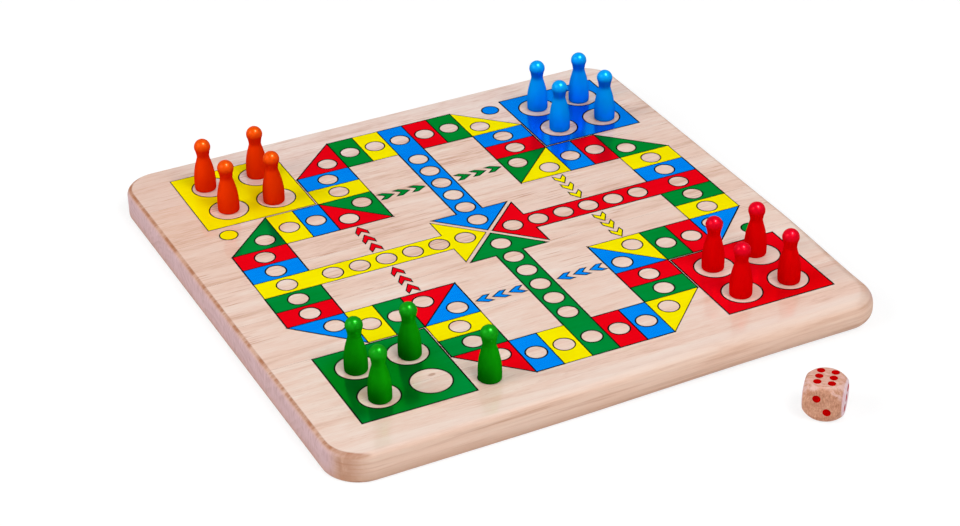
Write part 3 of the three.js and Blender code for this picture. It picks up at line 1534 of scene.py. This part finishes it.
    def build_rings(self, material: bpy.types.Material) -> None:
        """Builds the rings round the circles and the start spots.

        Args:
            material: The ink of the lines.
        """
        bench = self.ring_bench()
        sizes = {
            "track": (self.field_circle, self.sides),
            "base": (self.base_circle, self.base_sides),
            "spot": (self.spot_radius, self.sides),
        }
        height = (self.film - self.sunk) / 2 + self.ring_lift
        seeds: dict[tuple[str, bool], list[tuple[float, float, float]]] = {}
        for kind, (x, y), ink in self.ring_places():
            seed = (x * self.unit, y * self.unit, height)
            seeds.setdefault((kind, ink is Ink.YELLOW), []).append(seed)
        for (kind, on_yellow), places in seeds.items():
            radius, sides = sizes[kind]
            width = self.line * (self.yellow_ring if on_yellow else 1.0)
            piece = new_piece(f"print_rings_{kind}" + ("_yellow" if on_yellow else ""), places, [])
            bench.grow(
                piece, Radius=(radius - self.line / 2) * self.unit,
                Line_Width=width * self.unit, Thickness=self.film + self.sunk, Sides=sides,
                Material=material,
            )
            self.lay(piece, material)

    def build_arrows(self, materials: Mapping[Ink, bpy.types.Material]) -> None:
        """Builds the small arrows that cross the bare ground between the lanes.

        Args:
            materials: The material of each ink.
        """
        bench = self.arrow_bench()
        first_x, first_y = self.arrow_start
        shape = tuple((x + first_x, y + first_y) for x, y in self.arrow)
        inner = offset(shape, -self.line * self.arrow_line)
        sheets = lay_out([Patch(shape, Ink.LINE, 0), Patch(inner, ARROW_INKS[0], 1)])
        outline, fill = sheets[Ink.LINE], sheets[ARROW_INKS[0]]
        for k, side in enumerate(ARROW_INKS):
            stray = Vector((*self.arrow_strays[k], 0.0)) * self.unit
            for kind, sheet, ink in (("outline", outline, Ink.LINE), ("fill", fill, side)):
                piece = self.prism(f"print_arrows_{side.value}_{kind}", sheet)
                piece.data.transform(Matrix.Translation(stray))
                bench.grow(
                    piece,
                    Count=self.arrow_count, Step=(self.arrow_pitch * self.unit, 0.0, 0.0),
                    Stretches=self.stretches,
                    Stretch_Step=(self.stretch_pitch * self.unit, 0.0, 0.0),
                    Turn=(0.0, 0.0, -k * math.pi / 2), Material=materials[ink],
                )
                self.lay(piece, materials[ink])

    @staticmethod
    def finishes() -> dict[Ink, InkFinish]:
        """Mixes the inks.

        Returns:
            The finish of each ink.
        """
        return {
            Ink.RED: InkFinish(
                "ink_red", paint(244, 4, 30), paint(236, 0, 22), enamel=0.35,
                deep=paint(233, 2, 16), heart=(0.118, -0.134),
            ),
            Ink.GREEN: InkFinish(
                "ink_green", paint(0, 149, 70), paint(0, 139, 59), enamel=0.6,
                deep=paint(0, 131, 38), heart=(-0.106, -0.098),
            ),
            Ink.YELLOW: InkFinish(
                "ink_yellow", paint(252, 238, 0), paint(247, 229, 0), enamel=0.1,
                deep=paint(244, 228, 0), heart=(-0.080, 0.094),
            ),
            Ink.BLUE: InkFinish(
                "ink_blue", paint(0, 150, 255), paint(0, 138, 250), enamel=0.8,
                deep=paint(0, 140, 246), heart=(0.118, 0.066),
            ),
            Ink.LINE: InkFinish("ink_line", paint(16, 12, 14), paint(24, 18, 18), enamel=0.0),
        }

    def build(self) -> None:
        """Builds the films of ink, the rings and the small arrows."""
        materials = {ink: finish.material() for ink, finish in self.finishes().items()}
        for ink, sheet in lay_out(self.patches()).items():
            self.lay(self.prism(f"print_{ink.value}", sheet), materials[ink])
        self.build_rings(materials[Ink.LINE])
        self.build_arrows(materials)


# The pawns


@dataclass
class PawnSet:
    """The sixteen turned pawns: a bell-shaped body, a short neck and a ball head.

    Attributes:
        height: A pawn's height.
        base: The width of its foot.
        neck: The width of its neck.
        head: The width of its head.
        belly: How far the body swells.
        belly_height: The height that pulls the lower body out.
        shoulder_height: The height that pulls the upper body out.
        neck_height: The height of the neck.
        foot_radius: The rounding of the foot.
        hollow: How far the foot is hollowed from below.
        neck_lift: How far above the neck's height the head's nape starts to swell.
        sides: Faces round a pawn.
        foot_steps: Steps round the foot's rounding.
        body_steps: Steps up the body, the last two of which lie in the neck.
        neck_steps: Steps through the neck.
        head_steps: Steps up the head.
        nape_steps: The lowest of these, which lie in the neck.
        count: How many pawns there are of each colour.
    """

    height: float = 29.8 * MM
    base: float = 11.6 * MM
    neck: float = 6.4 * MM
    head: float = 8.8 * MM
    belly: float = 0.6 * MM
    belly_height: float = 11.9 * MM
    shoulder_height: float = 16.4 * MM
    neck_height: float = 20.2 * MM
    foot_radius: float = 0.8 * MM
    hollow: float = 0.08 * MM
    neck_lift: float = 0.1 * MM
    sides: int = 64
    foot_steps: int = 6
    body_steps: int = 26
    neck_steps: int = 8
    head_steps: int = 25
    nape_steps: int = 3
    count: int = 4

    def profile(self) -> list[Point]:
        """Draws half a pawn's outline.

        Returns:
            Its points, from the hollow under the foot to the head, as radius and height.
        """
        base, neck, head = self.base / 2, self.neck / 2, self.head / 2
        foot = self.foot_radius
        centre = self.height - head
        points: list[Point] = [(base - foot - 2 * self.hollow, self.hollow), (base - foot, 0.0)]
        for i in range(1, self.foot_steps + 1):
            angle = math.pi / 2 * i / self.foot_steps
            points.append((base - foot + foot * math.sin(angle), foot - foot * math.cos(angle)))
        pulls = (
            (base, foot), (base + self.belly, self.belly_height),
            (neck + self.belly, self.shoulder_height), (neck, self.neck_height),
        )
        body = [self.bezier(pulls, i / self.body_steps) for i in range(1, self.body_steps - 1)]
        nape = -math.acos(neck / head)
        ball = []
        for i in range(self.nape_steps, self.head_steps):
            angle = nape + (math.pi / 2 - nape) * i / self.head_steps
            ball.append((head * math.cos(angle), centre + head * math.sin(angle)))
        bend = (body[-1], (neck, self.neck_height + self.neck_lift), ball[0])
        blend = [self.bezier(bend, i / self.neck_steps) for i in range(1, self.neck_steps)]
        return [*points, *body, *blend, *ball]

    @staticmethod
    def bezier(pulls: Sequence[Point], share: float) -> Point:
        """Finds a point of a Bezier curve.

        Args:
            pulls: The points that pull the curve.
            share: How far along the curve the point lies, 0 to 1.

        Returns:
            The point.
        """
        points = [Vector(p) for p in pulls]
        while len(points) > 1:
            points = [a.lerp(b, share) for a, b in zip(points, points[1:])]
        return (points[0].x, points[0].y)

    def turn(self, name: str, node: str) -> bpy.types.Object:
        """Turns one pawn about the middle of its solid.

        Args:
            name: The piece's name.
            node: The solid that it stands for.

        Returns:
            The pawn.
        """
        low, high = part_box(node)
        x, y = (low.x + high.x) / 2, (low.y + high.y) / 2
        profile = self.profile()
        points = [(x, y, low.z + self.hollow)]
        for radius, height in profile:
            for i in range(self.sides):
                angle = 2 * math.pi * i / self.sides
                points.append(
                    (x + radius * math.cos(angle), y + radius * math.sin(angle), low.z + height)
                )
        points.append((x, y, high.z))
        crown = len(points) - 1
        last = 1 + (len(profile) - 1) * self.sides
        faces: list[tuple[int, ...]] = []
        for i in range(self.sides):
            j = (i + 1) % self.sides
            faces.append((0, 1 + j, 1 + i))
            for k in range(len(profile) - 1):
                a = 1 + k * self.sides
                b = a + self.sides
                faces.append((a + i, a + j, b + j, b + i))
            faces.append((last + i, last + j, crown))
        return new_piece(name, points, faces, TURNED_SHARP_DEGREES)

    @staticmethod
    def finishes() -> dict[str, PawnPaint]:
        """Mixes the paints.

        Returns:
            The paint of each colour's pawns.
        """
        return {
            "orange": PawnPaint(
                "paint_orange", paint(240, 82, 4), paint(230, 52, 0), paint(204, 14, 0),
                shade_direction=(0.5, -0.3), nape=0.6,
            ),
            "blue": PawnPaint(
                "paint_blue", paint(2, 163, 250), paint(0, 144, 235), paint(0, 62, 174),
                shade_direction=(0.8, 0.4), nape=0.75,
            ),
            "red": PawnPaint("paint_red", paint(226, 0, 34), paint(217, 0, 2), paint(198, 0, 0)),
            "green": PawnPaint(
                "paint_green", paint(16, 152, 18), paint(14, 155, 6), paint(0, 86, 2),
                shade_direction=(-0.9, -0.2), nape=0.0,
            ),
        }

    def build(self) -> None:
        """Builds the pawns, each on its own body."""
        for name, finish in self.finishes().items():
            material = finish.material()
            for i in range(1, self.count + 1):
                node = f"pawn_{name}_{i}"
                pawn = self.turn(f"{name}_pawn_{i}", node)
                hand_over(pawn, node, material, [node])


# The die


@dataclass
class Die:
    """The tumbled wooden die, with dimpled and painted pips.

    Attributes:
        node: The solid that it stands for.
        turn_degrees: How it lies, seen from above.
        ball: The radius of the ball that its edges and corners are worn down to.
        power: How sharp the rim of a flat side is.
        grid: Faces along an edge.
        weld: The distance below which two corners of the skin are one.
        pip: The radius of a pip.
        depth: The depth of a pip.
        coat: The thickness of the paint in it.
        bare_rim: How far that paint stays off the pip's rim.
        pip_sides: How many sides the dab of paint has.
        ball_detail: How often the ball that hollows a pip out is divided.
        sharp_degrees: The angle from which an edge is sharp, so that a pip's rim is.
        body: The body that carries the die.
        half: Half the die's width.
        centre: The die's middle.
    """

    node: str = "die"
    turn_degrees: float = -44
    ball: float = 12.97 * MM
    power: float = 40
    grid: int = 48
    weld: float = 0.001 * MM
    pip: float = 2.12 * MM
    depth: float = 0.32 * MM
    coat: float = 0.03 * MM
    bare_rim: float = 0.12 * MM
    pip_sides: int = 32
    ball_detail: int = 5
    sharp_degrees: float = 18
    body: str = "die"
    half: float = field(init=False)
    centre: Vector = field(init=False)

    def __post_init__(self) -> None:
        """Reads the die's size and place from its solid."""
        low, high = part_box(self.node)
        self.half = (high.z - low.z) / 2
        self.centre = (low + high) / 2

    def matrix(self) -> Matrix:
        """Returns the die's place on the table."""
        turn = Matrix.Rotation(math.radians(self.turn_degrees), 4, "Z")
        return Matrix.Translation(self.centre) @ turn

    def on_skin(self, direction: Vector) -> Vector:
        """Finds where a line from the centre leaves the die.

        Args:
            direction: The line's direction.

        Returns:
            The point, about the die's centre.
        """
        cube = self.half / max(abs(part) for part in direction) * direction.length
        reach = (1 + (cube / self.ball) ** self.power) ** (-1 / self.power) * cube
        return direction.normalized() * reach

    def facing(self, point: Vector) -> Vector:
        """Finds the way that the die's skin faces at a point.

        Args:
            point: The point, about the die's centre.

        Returns:
            The way, one unit long.
        """
        step = 0.1 * MM
        side = point.orthogonal().normalized() * step
        up = point.cross(side).normalized() * step
        across = self.on_skin(point + side) - self.on_skin(point - side)
        along = self.on_skin(point + up) - self.on_skin(point - up)
        return across.cross(along).normalized()

    def cube(self) -> bmesh.types.BMesh:
        """Builds the tumbled cube without its pips.

        Returns:
            The cube, about its own centre.
        """
        mesh = bmesh.new()
        steps = [math.tan(math.pi / 4 * (2 * i / self.grid - 1)) for i in range(self.grid + 1)]
        for axis in range(3):
            for sign in (-1.0, 1.0):
                rows = []
                for u in steps:
                    row = []
                    for v in steps:
                        parts = [0.0, 0.0, 0.0]
                        parts[axis] = sign
                        parts[(axis + 1) % 3] = u
                        parts[(axis + 2) % 3] = v * sign
                        row.append(mesh.verts.new(self.on_skin(Vector(parts))))
                    rows.append(row)
                for a, b in zip(rows, rows[1:]):
                    for i in range(self.grid):
                        mesh.faces.new((a[i], b[i], b[i + 1], a[i + 1]))
        bmesh.ops.remove_doubles(mesh, verts=mesh.verts, dist=self.weld)
        bmesh.ops.recalc_face_normals(mesh, faces=mesh.faces)
        return mesh

    def pips(self) -> list[tuple[Vector, Vector]]:
        """Places the pips, of which opposite sides have seven together.

        Returns:
            The place of each pip and the way that it faces.
        """
        # How far the pips of the six, of the two and of the other sides lie off the middle
        near, wide = 3.46 * MM, 4.9 * MM
        slant, rise = 2.6 * MM, 3.4 * MM
        four = 3.5 * MM
        sides = {
            (0, 0, 1): [(x, y) for x in (-near, near) for y in (-wide, 0.0, wide)],
            (0, 0, -1): [(0.0, 0.0)],
            (0, -1, 0): [(-slant, rise), (slant, -rise)],
            (0, 1, 0): [(0.0, 0.0)] + [(x, y) for x in (-four, four) for y in (-four, four)],
            (1, 0, 0): [(-four, -four), (0.0, 0.0), (four, four)],
            (-1, 0, 0): [(x, y) for x in (-four, four) for y in (-four, four)],
        }
        found = []
        for side, places in sides.items():
            out = Vector(side)
            up = Vector((0, 1, 0)) if side[2] else Vector((0, 0, 1))
            right = up.cross(out)
            for a, b in places:
                point = self.on_skin(right * a + up * b + out * self.half)
                found.append((point, self.facing(point)))
        return found

    def pip_bench(self) -> GeometryBench:
        """Makes the tree that lays a hollow dab of paint on each point of a mesh.

        Returns:
            The bench with the tree on it.
        """
        inputs = {"Radius": "Float", "Thickness": "Float", "Hollow": "Float", "Depth": "Float",
                  "Sides": "Int", "Material": "Material"}
        bench = GeometryBench("pip_dabs", inputs)
        given = bench.given
        disc = bench.add("MeshCylinder", {"fill_type": "TRIANGLE_FAN"},
                         {"Vertices": given["Sides"], "Fill Segments": 4,
                          "Radius": given["Radius"], "Depth": given["Thickness"]})
        place = bench.add("InputPosition").outputs[0]
        flat = bench.add("ShaderNodeVectorMath", {"operation": "MULTIPLY"},
                         {0: place, 1: (1, 1, 0)})
        square = bench.add("ShaderNodeVectorMath", {"operation": "DOT_PRODUCT"},
                           {0: flat.outputs[0], 1: flat.outputs[0]})
        rise = bench.add("ShaderNodeMath", {"operation": "MULTIPLY_ADD"},
                         {0: square.outputs[1], 1: given["Hollow"], 2: given["Depth"]})
        lift = bench.add("ShaderNodeCombineXYZ", None, {2: rise.outputs[0]})
        bowl = bench.add("SetPosition", None,
                         {"Geometry": disc.outputs[0], "Offset": lift.outputs[0]})
        facing = bench.add("InputNamedAttribute", {"data_type": "FLOAT_VECTOR"},
                           {"Name": "facing"})
        turn = bench.add("FunctionNodeAlignRotationToVector", {"axis": "Z"},
                         {"Vector": facing.outputs[0]})
        laid = bench.add("InstanceOnPoints", None,
                         {"Points": given["Geometry"], "Instance": bowl.outputs[0],
                          "Rotation": turn.outputs[0]})
        bench.end(laid.outputs[0])
        return bench

    def dimpled(self, hollow: float) -> bpy.types.Object:
        """Builds the die and hollows its pips out with balls.

        Args:
            hollow: The radius of the balls.

        Returns:
            The die, about its own centre.
        """
        mesh = bpy.data.meshes.new("die_wood")
        cube = self.cube()
        cube.to_mesh(mesh)
        cube.free()
        die = finish_piece("die_wood", mesh)
        balls = bmesh.new()
        for point, out in self.pips():
            place = Matrix.Translation(point + out * (hollow - self.depth))
            bmesh.ops.create_icosphere(
                balls, subdivisions=self.ball_detail, radius=hollow, matrix=place
            )
        cutter_mesh = bpy.data.meshes.new("cutter")
        balls.to_mesh(cutter_mesh)
        balls.free()
        cutter = bpy.data.objects.new("cutter", cutter_mesh)
        bpy.context.scene.collection.objects.link(cutter)
        cutting = die.modifiers.new("pips", "BOOLEAN")
        cutting.operation = "DIFFERENCE"
        cutting.solver = "EXACT"
        cutting.object = cutter
        depsgraph = bpy.context.evaluated_depsgraph_get()
        cut = bpy.data.meshes.new_from_object(die.evaluated_get(depsgraph))
        die.modifiers.clear()
        bpy.data.objects.remove(cutter)
        die.data = cut
        cut.shade_smooth()
        cut.set_sharp_from_angle(angle=math.radians(self.sharp_degrees))
        return die

    def build(self) -> None:
        """Builds the die and the paint in its pips."""
        hollow = (self.pip**2 + self.depth**2) / (2 * self.depth)
        die = self.dimpled(hollow)
        die.data.transform(self.matrix())
        wood = DieWood("wood_die", self.turn_degrees)
        hand_over(die, self.body, wood.material(), [self.node])
        material = PipPaint().material()
        places = self.pips()
        dabs = new_piece("die_pips", [point for point, _ in places], [])
        facing = dabs.data.attributes.new("facing", "FLOAT_VECTOR", "POINT")
        for entry, (_, out) in zip(facing.data, places):
            entry.vector = out
        self.pip_bench().grow(
            dabs,
            Radius=self.pip - self.bare_rim, Thickness=self.coat, Hollow=1 / (2 * hollow),
            Depth=-self.depth + self.coat / 4, Sides=self.pip_sides, Material=material,
        )
        dabs.data.transform(self.matrix())
        hand_over(dabs, self.body, material)


# The studio


@dataclass
class Studio:
    """A pale floor that curves up all round, two soft boxes, a glint, an even sky and the camera.

    Attributes:
        sky: The strength of the even light from all round.
        open_sky: Between which heights the seen sky fades from white, 0 level and 1 overhead.
        reach: How far off the lamps hang.
        floor_gap: How far the floor lies under the board.
        floor_radius: Where the floor starts to curve up.
        floor_sides: Faces round the floor.
        wall: The radius of the floor's curve.
        wall_steps: Faces up the curve.
        steepness: How many times as high as a round curve it climbs.
        grey: How much light the floor throws back.
        white: The strength of the floor's own white.
        white_share: How much of what is seen of the floor is that white.
        lens: The camera's focal length, in millimetres.
        sensor: The width of the camera's film, in millimetres.
        sight: How far the camera sees, in metres.
        eye: The camera's place.
        right: The way to the right of the picture.
        up: The way up in the picture.
    """

    sky: float = 0.3
    open_sky: Point = (0.6, 0.85)
    reach: float = 3.0
    floor_gap: float = 0.1 * MM
    floor_radius: float = 8.0
    floor_sides: int = 96
    wall: float = 4.0
    wall_steps: int = 8
    steepness: float = 3
    grey: float = 0.82
    white: float = 1.14
    white_share: float = 0.69
    lens: float = 90.55
    sensor: float = 36
    sight: float = 60
    eye: tuple[float, float, float] = (-0.4763, -0.9763, 0.6572)
    right: tuple[float, float, float] = (0.89417, -0.44724, -0.02092)
    up: tuple[float, float, float] = (0.24779, 0.45541, 0.85511)

    @staticmethod
    def seen(bench: ShaderBench) -> Signal:
        """Tells what the camera sees, also in a reflection or through glass.

        Args:
            bench: The bench.

        Returns:
            1 for what is seen, or else 0.
        """
        rays = bench.add("LightPath").outputs
        seen = Signal(bench, rays["Is Camera Ray"]) + Signal(bench, rays["Is Glossy Ray"])
        return (seen + Signal(bench, rays["Is Transmission Ray"])).math("MINIMUM", 1.0)

    def sweep(self) -> None:
        """Builds the floor; to the camera and in reflections it is white, with soft shadows."""
        profile = []
        for i in range(self.wall_steps + 1):
            angle = math.pi / 4 * i / self.wall_steps
            height = self.wall * (1 - math.cos(angle)) * self.steepness
            profile.append((self.floor_radius + self.wall * math.sin(angle), height))
        sides = self.floor_sides
        points = [(0.0, 0.0, -self.floor_gap)]
        for radius, height in profile:
            for i in range(sides):
                angle = 2 * math.pi * i / sides
                x, y = radius * math.cos(angle), radius * math.sin(angle)
                points.append((x, y, height - self.floor_gap))
        faces: list[tuple[int, ...]] = [(0, 1 + i, 1 + (i + 1) % sides) for i in range(sides)]
        for k in range(len(profile) - 1):
            a = 1 + k * sides
            for i in range(sides):
                j = (i + 1) % sides
                faces.append((a + i, a + sides + i, a + sides + j, a + j))
        floor = new_piece("floor", points, faces, TURNED_SHARP_DEGREES)
        bench = ShaderBench.named("floor_white")
        lit = bench.add("BsdfDiffuse", None, {"Color": (self.grey, self.grey, self.grey, 1)})
        white = bench.add("Emission", None, {"Color": (1, 1, 1, 1), "Strength": self.white})
        share = self.seen(bench) * self.white_share
        both = bench.add("MixShader", None, {0: share, 1: lit.outputs[0], 2: white.outputs[0]})
        bench.add("OutputMaterial", None, {"Surface": both.outputs[0]})
        floor.data.materials.append(bench.owner)

    def soft_box(
        self, name: str, towards: Sequence[float], size: float, power: float, glint: bool = False
    ) -> None:
        """Hangs a square lamp in a direction from the board, facing it.

        Args:
            name: The lamp's name.
            towards: The direction, seen from the board's middle.
            size: The lamp's width, in metres.
            power: Its power, in watts.
            glint: Whether only glossy surfaces see it.
        """
        data = bpy.data.lights.new(name, "AREA")
        data.shape = "SQUARE"
        data.size = size
        data.energy = power
        lamp = bpy.data.objects.new(name, data)
        direction = Vector(towards).normalized()
        lamp.location = direction * self.reach
        lamp.rotation_mode = "QUATERNION"
        lamp.rotation_quaternion = direction.to_track_quat("Z", "Y")
        lamp.visible_diffuse = not glint
        bpy.context.scene.collection.objects.link(lamp)

    def light(self) -> None:
        """Sets the sky and hangs the lamps."""
        world = bpy.data.worlds.new("even_sky")
        bpy.context.scene.world = world
        bench = ShaderBench(world)
        height = bench.axes(bench.add("TexCoord").outputs["Generated"])[2]
        white = self.seen(bench) * (1 - height.rise(*self.open_sky))
        strength = white * (1.0 - self.sky) + self.sky
        background = bench.add("Background", None, {"Color": (1, 1, 1, 1), "Strength": strength})
        bench.add("OutputWorld", None, {"Surface": background.outputs[0]})
        self.soft_box("box_left", (-0.80, 0.08, 0.59), 1.4, 40)
        self.soft_box("box_front", (0.15, -0.55, 0.82), 1.4, 48)
        self.soft_box("glint", (0.16, -0.30, 0.94), 0.45, 240, glint=True)

    def camera(self) -> None:
        """Sets up the camera, in front of the board and to the left, looking down on it."""
        data = bpy.data.cameras.new("camera")
        data.sensor_width = self.sensor
        data.lens = self.lens
        data.clip_end = self.sight
        camera = bpy.data.objects.new("camera", data)
        right, up = Vector(self.right), Vector(self.up)
        place = Matrix((right, up, right.cross(up))).transposed().to_4x4()
        place.translation = self.eye
        camera.matrix_world = place
        bpy.context.scene.collection.objects.link(camera)
        bpy.context.scene.camera = camera

    def build(self) -> None:
        """Builds the floor, the lights and the camera."""
        self.sweep()
        self.light()
        self.camera()
        bpy.context.scene.view_settings.view_transform = "Standard"


def main() -> None:
    """Builds the board, its print, the pawns, the die and the studio, in that order."""
    logging.basicConfig(level=logging.INFO, format="%(name)s: %(message)s")
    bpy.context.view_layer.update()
    board = Board()
    board.build()
    TrackPrint(top=board.high.z).build()
    PawnSet().build()
    Die().build()
    Studio().build()


if __name__ == "__main__":
    main()
